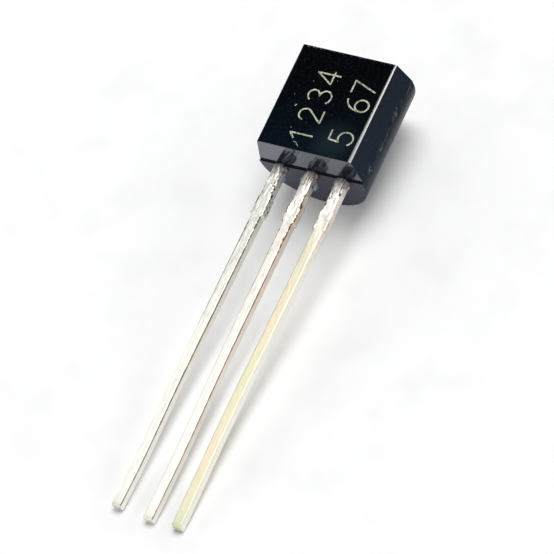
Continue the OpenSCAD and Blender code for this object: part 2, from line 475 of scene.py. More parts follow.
def build_case(bm):
    """Both halves of the case, chipped, with the edges marked that Bevel will round."""
    rounded = bm.edges.layers.float.new("bevel_weight_edge")
    chip = bm.verts.layers.float.new("chip")
    front, back = front_loop(FACET_LOW), back_loop()

    def rim(points, ends, which):
        return [bm.verts.new(rest(x, ends(z)[which], z)) for x, z in points]

    f_low, f_high = rim(front, front_ends, 0), rim(front_loop(FACET_TOP), front_ends, 1)
    b_low, b_high = rim(back, back_ends, 0), rim(back, back_ends, 1)
    for v in (b_high[0], b_high[-1]):
        bm.verts.remove(v)
    b_high[0], b_high[-1] = f_high[-1], f_high[0]

    last = len(front) - 1
    front_columns = [
        column(bm, low, high, min(i, last - i) <= len(SIDE_STEPS))
        for i, (low, high) in enumerate(zip(f_low, f_high))
    ]
    back_columns = [front_columns[-1]] + [
        column(bm, b_low[i], b_high[i], min(i, ARC_STEPS - i) <= CHIP_COLUMNS)
        for i in range(1, ARC_STEPS)
    ] + [front_columns[0]]
    for columns in (front_columns, back_columns):
        for a, b in zip(columns, columns[1:]):
            wall(bm, a, b)
    for corners in (
        (b_low[0], f_low[-1], b_low[1]), (b_low[-1], b_low[-2], f_low[0]),
        f_low, f_high, b_low, b_high, (f_low[0], f_low[-1], b_low[0], b_low[-1]),
    ):
        bm.faces.new(corners)
    bmesh.ops.recalc_face_normals(bm, faces=bm.faces)
    for i in (len(front) // 2 - 1, len(front) // 2):
        bm.edges.get((f_low[i], f_high[i])).smooth = False
    for edge in bm.edges:
        if len(edge.link_faces) == 2 and edge.calc_face_angle() > math.radians(20):
            edge[rounded] = 1.0
    for points in (*front_columns, *back_columns[1:-1]):
        for v in points[3:-3]:
            bite(v, chip)


case = plain_mesh("resin_case", build_case, *FINISHES)
print("resin case before rounding:", len(case.data.vertices), "vertices")

# %% Round edges and finishes
EDGE_ROUND = 0.012


def settle(piece):
    """Turns a piece's modifiers into its plain mesh."""
    bpy.context.view_layer.update()
    graph = bpy.context.evaluated_depsgraph_get()
    mesh = bpy.data.meshes.new_from_object(piece.evaluated_get(graph), depsgraph=graph)
    piece.modifiers.clear()
    old, piece.data = piece.data, mesh
    bpy.data.meshes.remove(old)
    mesh.name = piece.name


def finish_of(face):
    """The finish of a face, by the way that it looks and where it is."""
    out, middle = TO_CASE @ face.normal, in_case(face.center)
    if out.y < -0.9:
        return END_FACE if middle.z > 0.02 else MATT_END
    if out.z < 0.75 and abs(out.y) < 0.9:
        return SATIN
    if 0.15 < out.x < 0.6 and abs(out.y) < 0.5:
        return HIGHLIGHT_EDGE
    return LIP_SHADE if middle.y < 0 else POLISHED


round_edges = case.modifiers.new("round_edges", "BEVEL")
round_edges.width = EDGE_ROUND * MM
round_edges.segments = 3
round_edges.limit_method = "WEIGHT"
case.modifiers.new("keep_flat", "WEIGHTED_NORMAL").keep_sharp = True
settle(case)
for v in case.data.vertices:
    v.co.x = max(-SPLIT_W / 2 * MM, min(SPLIT_W / 2 * MM, v.co.x))
for face in case.data.polygons:
    face.material_index = FINISHES.index(finish_of(face))
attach(case, "root")
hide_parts("moulded_case")
print("resin case:", len(case.data.vertices), "vertices")

# %% [markdown]
# ## Tin
#
# The leads are a punched strip that was dipped in tin. Tin is a metal with a nearly white
# colour. On the smooth faces it is satin, with faint lines along the lead, and a little
# creamier towards the tips. On the cut sides it is thinner, duller and browner, and a
# lighter band there about a millimetre from the case is painted light. Thin brown veins
# run along it near the case: they are the places where a slow noise is close to its middle
# value. The material reads two attributes of the mesh: `cut` is 1 on the cut sides, and
# the other is a half in a brown stain and 1 in a black pit; it holds real stains and pits,
# and painted shade on the side of the ripples that looks at the case. The dark skin on
# those ripples, old flux and painted shade, is no metal, so it has a material of its own.

# %% Old flux and painted shade
def make_residue(name, light, dark, soft, size):
    """A dull, speckled skin: light grains in a dark ground."""
    made, tree, skin = new_material(name)
    height, patches = grain(tree, case_space(tree), size, 3 * size)
    speck = maths(tree, "MULTIPLY_ADD", patches, 0.5, height)
    give(skin, {
        "Base Color": ramp(tree, speck, ((0.55, *dark), (0.9, *light))),
        "Roughness": ramp(tree, patches, ((0.3, soft), (0.7, soft + 0.15))),
        "Normal": bumps(tree, height, 0.6, 0.008),
    })
    return made


# A dark skin of old flux; on the ripples' side that looks at the case it is painted shade.
FLUX_AND_SHADE = make_residue("flux_and_shade", (0.06, 0.065, 0.03), (0.008, 0.009, 0.006), 0.5, 0.05)
print("made", FLUX_AND_SHADE.name)

# %% Tin material
ROOT_METAL, TIP_METAL = 0.85, 0.45
VEIN_HALF = 0.012


def make_tin(name, faces, sides, soft, veined, brown_tone=(0.20, 0.15, 0.125)):
    """Tin with tones down the lead: (place, red, green, blue) in percent."""
    faces, sides = ([[v / 100 for v in stop] for stop in tones] for tones in (faces, sides))
    made, tree, skin = new_material(name)
    space = case_space(tree)
    height, patches = grain(tree, space, 0.045, 0.35, stretch=8.0)
    cut, grime_and_shade = attribute(tree, "cut"), attribute(tree, "grime_and_shade")
    down = share_along(tree, space, -LEAD_LEN)
    shifted = maths(tree, "MULTIPLY_ADD", patches, 0.10, down)
    place = maths(tree, "SUBTRACT", shifted, 0.05)
    tone = blend(tree, cut, ramp(tree, place, faces), ramp(tree, place, sides))

    drawn = add(tree, "ShaderNodeVectorMath", {0: space, 1: (1.0, 0.2, 1.0)},
                operation="MULTIPLY")
    vein = ramp(tree, clouds(tree, drawn, 7.0, 4.0, 0.6), (
        (0.5 - VEIN_HALF, 0.0), (0.5, veined), (0.5 + VEIN_HALF, 0.0)))
    fading = maths(tree, "MULTIPLY_ADD", down, -1.7, 1.0, clamp=True)
    veins = maths(tree, "MULTIPLY", vein, fading)
    brown_share = maths(tree, "MULTIPLY_ADD", grime_and_shade, 2.0, veins, clamp=True)
    black_share = maths(tree, "MULTIPLY", maths(tree, "SUBTRACT", grime_and_shade, 0.45), 3.0, clamp=True)
    browned = blend(tree, brown_share, tone, (*brown_tone, 1))
    bare = maths(tree, "MULTIPLY_ADD", down, TIP_METAL - ROOT_METAL, ROOT_METAL)
    give(skin, {
        "Base Color": blend(tree, black_share, browned, (*(0.12 * c for c in brown_tone), 1)),
        "Metallic": maths(tree, "MULTIPLY_ADD", grime_and_shade, -0.6, bare, clamp=True),
        "Roughness": ramp(tree, patches, ((0.3, soft - 0.06), (0.7, soft + 0.06))),
        "Normal": bumps(tree, height, 0.5, 0.006),
    })
    return made


# %% Three kinds of tin
# On the cut sides, the lighter tone at 7 percent, about a millimetre from the case, is painted
# light.
TIN = make_tin(
    "satin_tin",
    ((0, 98, 97, 92), (9, 76, 79, 70), (20, 82, 82, 75), (45, 95, 94, 85), (95, 95, 94, 85),
     (100, 70, 72, 58)),
    ((0, 66, 66, 60), (7, 92, 94, 86), (12, 70, 72, 63), (30, 70, 68, 61), (50, 80, 76, 69),
     (100, 84, 85, 78)),
    0.42, 0.8,
)
BROWN_TIN = make_tin(
    "brown_edged_tin",
    ((0, 100, 97, 92), (20, 92, 90, 80), (45, 96, 95, 87), (95, 98, 97, 90),
     (100, 84, 85, 72)),
    ((0, 62, 56, 50), (7, 80, 76, 66), (12, 62, 56, 46), (30, 74, 64, 56), (60, 82, 78, 72),
     (75, 74, 71, 62), (100, 84, 83, 78)),
    0.42, 0.7, brown_tone=(0.30, 0.17, 0.125),
)
DULL_TIN = make_tin(
    "dull_tin",
    ((0, 100, 97, 94), (13, 86, 83, 74), (20, 78, 75, 56), (40, 84, 75, 56), (60, 78, 76, 54),
     (78, 84, 75, 56), (95, 78, 75, 54), (100, 66, 68, 49)),
    ((0, 80, 78, 74), (13, 66, 57, 49), (25, 78, 76, 66), (60, 82, 80, 73),
     (100, 78, 78, 68)),
    0.48, 0.5,
)
print("tins:", [tin.name for tin in (TIN, BROWN_TIN, DULL_TIN)])

# %% [markdown]
# ## The leads
#
# A lead is a bar of changing width, so it is lofted: at each station along it a ring of
# points is placed round a rounded rectangle, and neighbouring rings are joined. Stations
# are close together near the case, where the tin is lumpy, and further apart below. Noise
# from mathutils moves each point out or in by a few micrometres, more where the tin is
# thick. It has no random state, so the same leads come out each run. The part sealed in
# the case is there too, lock, post or pad, and the tips are rounded.
#
# The tin nearest the case froze in fine ripples. Every second ring there stands out a
# little, in streaks. The side of a ripple that looks at the case gets a dark skin of old
# flux and a brown stain, which is painted shade. So the roots look bright from the tips,
# but the end of the case mirrors dark leads.
#
# What a lead has of its own is written as marks: a place on the bar, how far it spreads
# across and along, how far it pushes the surface out (a drop of tin) or in (a pit), and
# how dark it is. The marks right at the case that push nothing darken the roots' flanks:
# they are painted shade. Dark lines along some corners stand for the burrs of the punch,
# and are partly painted shade along the leads' edges.

# %% The shape of a lead
RING_SIDE, CORNER = 15, 0.05
RIPPLES_FROM, RIPPLES_TO, LUMPS_TO = -0.01, -0.8, -2.5
FINE_STEP, STEP, LONG_STEP = 0.012, 0.022, 0.07
LOCK_TOP = LOCK_IN + LOCK_LEN
POST = ((POST_TOP, POST_W), (LOCK_TOP, POST_W), (LOCK_TOP, LOCK_W), (LOCK_IN, LOCK_W))
PAD = ((PAD_IN + PAD_LEN, PAD_W), (PAD_IN, PAD_W), (PAD_IN, ROOT_W), (LOCK_TOP, ROOT_W),
       (LOCK_TOP, LOCK_W), (LOCK_IN, LOCK_W))
TIP = {0.06: 0.0, 0.03: 0.008, 0.01: 0.024, 0.0: 0.045}  # from the end: how much slimmer


def between(y, marks):
    """A value read off (y, value) marks, y falling."""
    if y > marks[0][0]:
        return marks[0][1]
    for (y0, v0), (y1, v1) in zip(marks, marks[1:]):
        if y >= y1:
            return v0 + (v1 - v0) * eased((y0 - y) / (y0 - y1))
    return marks[-1][1]


def lead_half_width(y):
    """Half the width of a lead outside the case: root, tie bar, then the plain strip."""
    tie = -ROOT_LEN - SHOULDER
    return between(y, [
        (-ROOT_LEN, ROOT_W / 2), (tie, TIE_W / 2),
        (tie - TIE_LEN, TIE_W / 2), (tie - TIE_LEN - SHOULDER, LEAD_W / 2),
    ])


def ring(half_w, half_t):
    """Points round a rounded rectangle, each with its outward direction."""
    quarters = []
    for quarter, (cx, cz) in enumerate(((1, 1), (-1, 1), (-1, -1), (1, -1))):
        centre = Vector((cx * (half_w - CORNER), 0, cz * (half_t - CORNER)))
        ways = (math.radians(90 * quarter + 30 * k) for k in range(4))
        outs = [Vector((math.cos(a), 0, math.sin(a))) for a in ways]
        quarters.append([(centre + CORNER * out, out) for out in outs])
    loop = []
    for arc, following in zip(quarters, quarters[1:] + quarters[:1]):
        (here, out), (there, _) = arc[-1], following[0]
        loop += arc
        loop += [(here.lerp(there, k / RING_SIDE), out) for k in range(1, RING_SIDE)]
    return loop


def stations(length):
    """Places along a lead: closest where the ripples are, far apart below the lumps."""
    found, y = [], LOCK_IN
    while y > -length + max(TIP):
        found.append(y)
        y -= FINE_STEP if RIPPLES_TO < y < 0.02 else STEP if y > LUMPS_TO else LONG_STEP
    return found + [-length + end for end in TIP]


print(len(stations(LEAD_LEN)), "rings of", len(ring(LEAD_W / 2, LEAD_T / 2)), "points")

# %% Ripples, marks and corner lines
RIPPLE_H, RIPPLE_SEEN = 0.015, 0.45
# Corners with dark lines, for burrs and partly painted edge shade, seen from the tip: side,
# front or back, and how far they reach.
LINED_CORNERS = ((-1, 1, 0.058), (1, 1, 0.056), (1, -1, 0.056))


def microns(values):
    """Millimetres from micrometres."""
    return [v / 1000 for v in values]


def ripple(at, y, seed):
    """How far the frozen ripples stand out here, from 0 to 1."""
    streaky = noise.noise(Vector((at.x * 11, at.z * 11, y * 1.2 + seed)))
    return eased((y - RIPPLES_TO) / 0.4) * eased(0.85 + 2.0 * streaky)


def marked(at, y, marks):
    """What the marks near a point add up to: (push, darkening)."""
    push = darkening = 0.0
    for (mx, my, mz, wide, long, depth), black in marks:
        away = ((at.x - mx)**2 + (at.z - mz)**2) / wide**2 + (y - my)**2 / long**2
        weight = math.exp(-1.5 * away)
        push += depth * weight
        darkening += black * weight
    return push, darkening


def corner_line_darkness(p, at, y, half, lines, offset):
    """The dark of the corner lines at a point, burrs and partly painted edge shade, more
    ragged near the case.
    """
    upper = eased((y + 4.5) / 2.0)
    wobble = noise.noise(Vector((at.x * 3, y * 5, at.z * 3)) + offset)
    jitter = upper * noise.noise(Vector((at.x * 9, y * 16, at.z * 9)) + offset)
    darkening = 0.0
    for line, (sx, sz, reach) in zip(lines, LINED_CORNERS):
        away = math.hypot(p.x - sx * half, p.z - sz * LEAD_T / 2)
        here = reach + 0.022 * (0.3 + upper) * (wobble + jitter)
        darkening += line * eased((here - away) / 0.04) * (0.9 + 0.5 * jitter)
    return darkening


# %% A lead's mesh
def build_lead(x0, length, sealed, bend, marks, corner_tables, seed):
    """Lofts a lead ring by ring, and notes its cut sides, its grime and painted shade, and its
    flux.
    """
    marks = [(microns(size), black) for *size, black in marks]
    rows = [(y, width / 2) for y, width in sealed]
    rows += [(y, lead_half_width(y)) for y in stations(length)]
    offset = Vector((seed * 7.3, seed * 3.1, seed * 5.7))

    def build(bm):
        cut = bm.verts.layers.float.new("cut")
        grime_and_shade = bm.verts.layers.float.new("grime_and_shade")
        rings, rippled = [], []
        for k, (y, half) in enumerate(rows):
            shrink = next((by for end, by in TIP.items() if abs(y + length - end) < 1e-6), 0.0)
            near = [m for m in marks if abs(y - m[0][1]) < 2.2 * m[0][4]]
            lines = [between(y, along_corner) for along_corner in corner_tables]
            lumpy = eased((y + 2.6) / 0.5) * eased((0.03 - y) / 0.05)
            row, rough_row = [], []
            for p, out in ring(half - shrink, LEAD_T / 2 - shrink):
                at = Vector((p.x, y, p.z - LEAD_T / 2))
                broad = noise.noise(at * 5 + offset) + 0.6 * noise.noise(at * 13 + offset)
                fine = noise.noise(Vector((at.x * 12, at.y * 3, at.z * 12)) + offset)
                swell = 0.0055 * lumpy * broad + (0.0025 * fine if y < 0.02 else 0.0)
                on_ripple = k % 2 and RIPPLES_TO + 0.02 < y < RIPPLES_FROM
                rough = ripple(at, y, seed) if on_ripple else 0.0
                push, darkening = marked(at, y, near)
                swell += RIPPLE_H * max(0.0, out.z, out.x) * rough + push
                darkening += corner_line_darkness(p, at, y, half, lines, offset)
                v = bm.verts.new(rest(
                    x0 + at.x + between(y, bend) + out.x * swell, y, at.z + out.z * swell
                ))
                v[cut] = eased((abs(out.x) - 0.6) / 0.3)
                v[grime_and_shade] = min(1.0, darkening + (0.15 if y <= -length else 0.0))
                row.append(v)
                rough_row.append(rough)
            rings.append(row)
            rippled.append(rough_row)
        n = len(rings[0])
        for a, b, swollen in zip(rings, rings[1:], rippled[1:]):
            for k in range(n):
                face = bm.faces.new((a[k], b[k], b[(k + 1) % n], a[(k + 1) % n]))
                # A ripple's face that looks at the case gets the dark flux skin: painted
                # shade.
                if swollen[k] > RIPPLE_SEEN and not RING_SIDE + 6 < k < n - RING_SIDE - 4:
                    face.material_index = 1
        bm.faces.new(rings[0])
        bm.faces.new(rings[-1][::-1])
        bmesh.ops.recalc_face_normals(bm, faces=bm.faces)
        bm.normal_update()
        # Points near the case whose normals look at it get a brown stain: painted shade.
        for (y, _), row in zip(rows, rings):
            if RIPPLES_TO < y < 0.05:
                for v in row:
                    painted_shade = eased((TO_CASE @ v.normal).y / 0.5)
                    painted_shade *= eased((y - RIPPLES_TO) / 0.3)
                    v[grime_and_shade] = min(1.0, v[grime_and_shade] + 0.5 * painted_shade)
    return build


# %% Marks on the leads
# A mark is (x, y, z, across, along, push) in micrometres from the middle of the lead's
# front face, and how dark it is, from 0 up. The marks right at the case that push
# nothing, on the roots' flanks, are painted shade.
EMITTER_MARKS = (
    (70, -180, 0, 30, 80, -12, 0.6), (110, -290, 0, 30, 80, -12, 0.6),
    (150, -400, 0, 30, 80, -12, 0.6), (190, -520, 0, 30, 80, -12, 0.6),
    (220, -670, -10, 50, 50, -25, 1.2), (120, -800, 0, 35, 40, -14, 1.1),
    (100, -910, 0, 30, 30, -12, 1), (20, -830, 0, 25, 30, -10, 0.8),
    (170, -930, 0, 30, 35, -12, 1), (210, -1030, -40, 45, 50, -20, 1.2),
    (230, -1300, -100, 70, 90, -35, 1.4), (160, -1220, 0, 30, 40, -10, 0.8),
    (220, -1220, -310, 40, 60, -15, 1), (250, -1500, -340, 50, 60, -15, 1),
    (250, -1550, -120, 60, 50, -20, 0.8), (260, -1680, -200, 50, 50, -20, 0.9),
    (260, -1820, -100, 50, 50, -20, 0.8), (260, -1900, -240, 60, 60, -20, 0.9),
    (250, -2040, -150, 50, 50, -20, 0.8), (190, -60, -20, 70, 100, 0, 1),
    (220, -120, -200, 120, 160, 0, 0.9), (30, -60, 0, 30, 100, -8, 0.7),
)
COLLECTOR_MARKS = (
    (30, -300, 0, 25, 240, -14, 0.75), (210, -300, 0, 35, 300, -22, 0.8),
    (-40, -160, 0, 20, 120, -8, 0.5), (120, -380, 0, 25, 160, -10, 0.6),
    (220, -520, -190, 50, 60, -20, 1.2), (200, -1380, -10, 30, 90, -12, 0.7),
    (230, -1530, -50, 30, 90, -12, 0.7), (250, -1660, -100, 30, 90, -12, 0.7),
    (250, -1820, -220, 50, 70, 20, 0.3), (-120, -620, 0, 30, 50, -10, 0.4),
    (-240, -1620, -50, 80, 140, 30, 0), (220, -950, -200, 60, 100, 20, 0.1),
    (200, -80, -20, 70, 130, 0, 1.1), (220, -140, -220, 120, 180, 0, 0.9),
    (-200, -70, -10, 60, 100, 0, 0.8), (100, -80, 0, 25, 100, -8, 0.7),
)
BASE_MARKS = (
    (130, -320, 0, 28, 260, -15, 0.75), (190, -650, 0, 50, 55, -30, 1.3),
    (-120, -660, 0, 30, 50, -14, 0.9), (-100, -790, 0, 25, 35, -10, 0.8),
    (-140, -880, 0, 30, 40, -12, 0.8), (-190, -1150, 0, 40, 45, -18, 1.1),
    (-230, -1500, -50, 70, 120, 50, 0), (-230, -2080, -50, 70, 100, 40, 0),
    (240, -1930, -60, 80, 160, 20, 0.28), (200, -1750, 0, 35, 50, 10, 0.35),
    (50, -500, 0, 30, 100, 12, 0), (200, -80, -20, 70, 120, 0, 1),
    (220, -140, -200, 120, 160, 0, 0.8), (-200, -50, -10, 50, 90, 0, 0.8),
    (60, -70, 0, 30, 100, -8, 0.7),
)
print("marks on the leads:", len(EMITTER_MARKS + COLLECTOR_MARKS + BASE_MARKS))

# %% The three leads
# Corner lines, burrs and partly painted edge shade: the dark along the front left, front right
# and back right corners, by y.
LEADS = (
    ("emitter", -PITCH, LEAD_LEN - SHORT_BY, POST, TIN, "tinned_lead",
     [(-2, 0), (-9, -0.03), (-12.5, 0.01), (-14.3, -0.02)], EMITTER_MARKS,
     ([(-0.5, 0), (-0.9, 0.9), (-5.5, 0.75), (-7.5, 0)],
      [(-0.6, 0.1), (-1.4, 0.85), (-8, 0.85), (-14, 0.7)],
      [(-0.6, 0.4), (-1.5, 0.85), (-5, 0.7), (-7, 0.2)])),
    ("collector", 0.0, LEAD_LEN, PAD, BROWN_TIN, "tinned_lead",
     [(-2, 0), (-7, 0.01), (-12.5, 0.09), (-14.45, 0.08)], COLLECTOR_MARKS,
     ([(-0.5, 0.2), (-1, 0.6), (-4, 0.5), (-8, 0.2)],
      [(-0.6, 0.3), (-1.3, 0.8), (-8, 0.8), (-14, 0.65)],
      [(-0.6, 0.4), (-1.4, 0.6), (-6, 0.4), (-9, 0.15)])),
    ("base", PITCH, LEAD_LEN, POST, DULL_TIN, "dull_tinned_lead",
     [(-2, 0), (-4, -0.02), (-10, -0.08), (-14.45, -0.03)], BASE_MARKS,
     ([(-0.6, 0.4), (-2.2, 0.35), (-4, 0.3), (-14, 0.25)],
      [(-0.6, 0.1), (-14, 0.2)],
      [(-1.0, 0.2), (-3, 0.3), (-14, 0.2)])),
)
for seed, (name, x0, length, sealed, tin, slot, *own) in enumerate(LEADS, 1):
    build = build_lead(x0, length, sealed, *own, seed)
    lead = plain_mesh(f"{name}_tinned", build, tin, FLUX_AND_SHADE)
    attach(lead, "root")
    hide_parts(f"{name}_lead")
    print(lead.name, "has", len(lead.data.polygons), "faces")

# %% [markdown]
# ## Resin on the roots
#
# When the case was pressed, a little resin crept out along the leads and set as a thin
# knobbly film, and flux from the tin bath dried on it in beads. Each lump is a ball from
# bmesh, stretched, sunk halfway into its lead and roughened with noise. All are one mesh,
# with one material for the film and one for the glassy beads.

# %% Lumps at the roots
# On each lead: middle from the front face and half sizes in micrometres, roughness, and 0
# for film or 1 for a bead.
LUMPS = (
    (-PITCH, (
        ((100, -90, -15), (60, 60, 30), 0.7, 0), ((140, -200, -15), (60, 70, 30), 0.7, 0),
        ((190, -330, -30), (50, 80, 50), 0.7, 0), ((210, -120, -160), (60, 90, 120), 0.6, 0),
        ((220, -290, -180), (60, 90, 110), 0.6, 0),
        ((240, -480, -200), (100, 130, 140), 0.25, 1),
    )),
    (0.0, (
        ((-235, -360, -100), (65, 160, 90), 0.3, 1), ((100, -160, -10), (40, 80, 25), 0.7, 0),
        ((170, -290, -20), (50, 90, 35), 0.7, 0), ((210, -120, -100), (50, 80, 100), 0.6, 0),
        ((220, -310, -180), (50, 100, 110), 0.6, 0),
        ((230, -420, -320), (100, 160, 110), 0.3, 1),
    )),
    (PITCH, (
        ((-150, -110, -10), (90, 70, 35), 0.6, 0), ((-190, -240, -30), (60, 90, 50), 0.7, 0),
        ((-210, -450, -40), (40, 70, 45), 0.6, 0), ((170, -120, -10), (60, 80, 35), 0.7, 0),
        ((200, -310, -50), (50, 110, 70), 0.7, 0),
        ((220, -170, -220), (65, 120, 110), 0.6, 0),
    )),
)


def build_lumps(bm):
    """Noisy balls sunk into the leads, each in its lead's own place and direction."""
    lumps = [(x0, *each) for x0, lumps in LUMPS for each in lumps]
    for seed, (x0, middle, radii, rough, slot) in enumerate(lumps, 1):
        (x, *others), radii = microns(middle), microns(radii)
        middle = (x0 + x, *others)
        fresh = bmesh.ops.create_icosphere(bm, subdivisions=4, radius=1.0)["verts"]
        offset = Vector((seed * 3.7, seed * 1.9, seed * 2.3))
        for v in fresh:
            out = v.co.copy()
            wave = noise.noise(out * 1.6 + offset) + 0.5 * noise.noise(out * 4.5 + offset)
            size = 1 + rough * wave
            v.co = rest(*(m + r * d * size for m, r, d in zip(middle, radii, out)))
        for face in {f for v in fresh for f in v.link_faces}:
            face.material_index = slot


FILM = make_residue("resin_film", (0.50, 0.44, 0.47), (0.006, 0.004, 0.005), 0.30, 0.05)
BEAD = make_residue("dried_flux", (0.34, 0.40, 0.50), (0.025, 0.035, 0.05), 0.06, 0.05)
root_residue = plain_mesh("root_residue", build_lumps, FILM, BEAD)
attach(root_residue, "root")
print("residue at the roots:", len(root_residue.data.polygons), "faces")

# %% [markdown]
# ## Growing small things along a line
#
# Grains along an edge, specks of dust and the strokes of the numbers all follow a line,
# which is Geometry Nodes' kind of work. A line is given as a mesh of edges in the case's
# directions, in millimetres. Each tree has named inputs, ends by laying its result in its
# place, and the result is kept as a plain mesh.

# %% Geometry Nodes helpers
def new_tree(name, inputs):
    """A tree that follows lines: itself, its inputs, its output node and the lines."""
    shapes = {"Geometry": "Geometry"}
    tree, given, result = new_group(name, "GeometryNodeTree", {**shapes, **inputs}, shapes)
    line = add(tree, "GeometryNodeMeshToCurve", {"Mesh": given["Geometry"]})
    return tree, given, result, line


def lay_down(tree, shapes, given, result):
    """A tree's end: real meshes, turned into place in the room, with one material."""
    solid = add(tree, "GeometryNodeRealizeInstances", {"Geometry": shapes})
    laid = add(tree, "GeometryNodeTransform", {
        "Geometry": solid,
        "Translation": (0, SHIFT * MM, LIFT * MM),
        "Rotation": (TILT, 0, 0),
        "Scale": (MM, MM, MM),
    })
    give(result, {"Geometry": add(tree, "GeometryNodeSetMaterial", {
        "Geometry": laid, "Material": given["Material"]})})


def grow(name, lines, tree, values):
    """Runs a tree on a mesh of lines, its inputs given by name, and keeps what comes out."""
    points, edges = [], []
    for line in lines:
        edges += [(i, i + 1) for i in range(len(points), len(points) + len(line) - 1)]
        points += line
    mesh = bpy.data.meshes.new(name)
    mesh.from_pydata(points, edges, [])
    piece = linked(name, mesh)
    tool = piece.modifiers.new(tree.name, "NODES")
    tool.node_group = tree
    for socket in tree.interface.items_tree:
        if socket.in_out == "INPUT" and socket.name in values:
            tool[socket.identifier] = values[socket.name]
    settle(piece)
    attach(piece, "root")
    print(name, "has", len(piece.data.polygons), "faces")


# %% A tree for crumbs
CRUMBS, given, result, line = new_tree("crumbs", {
    "Count": "Int", "Size": "Vector", "Spread low": "Vector",
    "Spread high": "Vector", "Seed": "Int", "Material": "Material",
})


def chance(low, high, shift):
    """A random vector between two others, another one for each crumb."""
    return add(CRUMBS, "FunctionNodeRandomValue", {
        0: low, 1: high, "Seed": maths(CRUMBS, "ADD", given["Seed"], shift)
    }, data_type="FLOAT_VECTOR")


spots = add(CRUMBS, "GeometryNodeCurveToPoints", {"Curve": line, "Count": given["Count"]},
            mode="COUNT")
scattered = add(CRUMBS, "GeometryNodeSetPosition", {
    "Geometry": spots, "Offset": chance(given["Spread low"], given["Spread high"], 1)})
chip = add(CRUMBS, "GeometryNodeMeshIcoSphere", {"Radius": 1.0, "Subdivisions": 2})
grown = add(CRUMBS, "ShaderNodeVectorMath", {
    0: given["Size"], 1: chance((0.4, 0.4, 0.4), (1.3, 1.6, 1.3), 2)
}, operation="MULTIPLY")
placed = add(CRUMBS, "GeometryNodeInstanceOnPoints", {
    "Points": scattered, "Instance": chip, "Scale": grown,
    "Rotation": chance((-0.3, -0.3, -0.3), (0.3, 0.3, 0.3), 3),
})
lay_down(CRUMBS, placed, given, result)
print("crumb tree with", len(CRUMBS.nodes), "nodes")

# %% [markdown]
# ## Grains and dust
#
# The flat's top edge has fine pale grains, and a few specks of dust lie on the flat. They
# are all crumbs of one tree, each kind with its own count, size and spread.

# %% Grains and specks
PALE_CHIP = make_residue("pale_chips", (0.50, 0.53, 0.56), (0.12, 0.14, 0.16), 0.45, 0.02)
PALE_DUST = make_residue("pale_dust", (0.85, 0.85, 0.83), (0.55, 0.55, 0.53), 0.7, 0.02)
top_y = front_ends(FRONT_D)[1] - 0.05
top_edge = [(x, top_y, FRONT_D - 0.003) for x in (-FLAT_W / 2 + 0.15, FLAT_W / 2 - 0.15)]
grow("top_edge_grains", [top_edge], CRUMBS, {
    "Count": 40, "Size": (0.026, 0.012, 0.003), "Seed": 5, "Material": PALE_CHIP,
    "Spread low": (-0.06, -0.02, -0.001), "Spread high": (0.06, 0.025, 0.0)})
grow("flat_specks", [[(-1.6, 0.4, FRONT_D), (1.3, 4.0, FRONT_D)]], CRUMBS, {
    "Count": 9, "Size": (0.007, 0.007, 0.003), "Seed": 11, "Material": PALE_DUST,
    "Spread low": (-1.2, -0.3, 0.0), "Spread high": (1.2, 0.3, 0.001)})
grow("white_speck", [[(-1.12, 1.84, FRONT_D), (-1.10, 1.86, FRONT_D)]], CRUMBS, {
    "Count": 3, "Size": (0.017, 0.017, 0.008), "Seed": 2, "Material": PALE_DUST,
    "Spread low": (-0.02, -0.02, 0.0), "Spread high": (0.02, 0.02, 0.001)})

# %% [markdown]
# ## Plain numbers
#
# The flat carries marks burnt in by a laser: two rows of thin pale strokes, a little ragged,
# read from the lead end upwards. They say nothing here, and just count from 1 to 7. Each
# figure is a single line of points, made of arcs and straight runs, in a box one unit high.
# A second tree gives the line its width. The same tree makes a short white fibre that lies
# on the flat near its lead end.

# %% A tree for strokes
STROKE_STEP = 0.018
STROKES, given, result, line = new_tree("strokes", {
    "Width": "Float", "Thickness": "Float", "Raggedness": "Float", "Material": "Material",
})
fine = add(STROKES, "GeometryNodeResampleCurve", {"Curve": line, "Length": STROKE_STEP},
           mode="LENGTH")
level = add(STROKES, "GeometryNodeSetCurveNormal", {"Curve": fine}, mode="Z_UP")
where = add(STROKES, "GeometryNodeInputPosition")
uneven = maths(STROKES, "SUBTRACT", clouds(STROKES, where, 13.0, 2.0), 0.5)
swing = maths(STROKES, "MULTIPLY", uneven, given["Raggedness"])
wide = add(STROKES, "GeometryNodeSetCurveRadius", {
    "Curve": level, "Radius": maths(STROKES, "ADD", 1.0, swing)})
nib = add(STROKES, "GeometryNodeCurvePrimitiveQuadrilateral", {
    "Width": given["Width"], "Height": given["Thickness"]})
body = add(STROKES, "GeometryNodeCurveToMesh", {
    "Curve": wide, "Profile Curve": nib, "Fill Caps": True})
lay_down(STROKES, body, given, result)
print("stroke tree with", len(STROKES.nodes), "nodes")

# %% Figures
FIGURE_H = 0.92


def arc(cx, cy, rx, ry, start, end, steps=14):
    """Points on a part of an ellipse, between two angles in degrees."""
    angles = [math.radians(start + (end - start) * i / steps) for i in range(steps + 1)]
    return [(cx + rx * math.cos(a), cy + ry * math.sin(a)) for a in angles]


FIGURES = {
    1: [(0.1, 0.76), (0.33, 1), (0.33, 0)],
    2: arc(0.29, 0.73, 0.25, 0.27, 170, -30) + [(0.03, 0), (0.58, 0)],
    3: arc(0.29, 0.76, 0.24, 0.24, 155, -90) + arc(0.29, 0.26, 0.28, 0.26, 90, -155),
    4: [(0.44, 0), (0.44, 1), (0.02, 0.3), (0.6, 0.3)],
    5: [(0.54, 1), (0.12, 1), (0.08, 0.56)] + arc(0.27, 0.32, 0.29, 0.32, 130, -150),
    6: arc(0.55, 0.38, 0.5, 0.6, 95, 175) + arc(0.3, 0.29, 0.26, 0.29, 160, -200, 24),
    7: [(0.03, 1), (0.57, 1), (0.22, 0)],
}
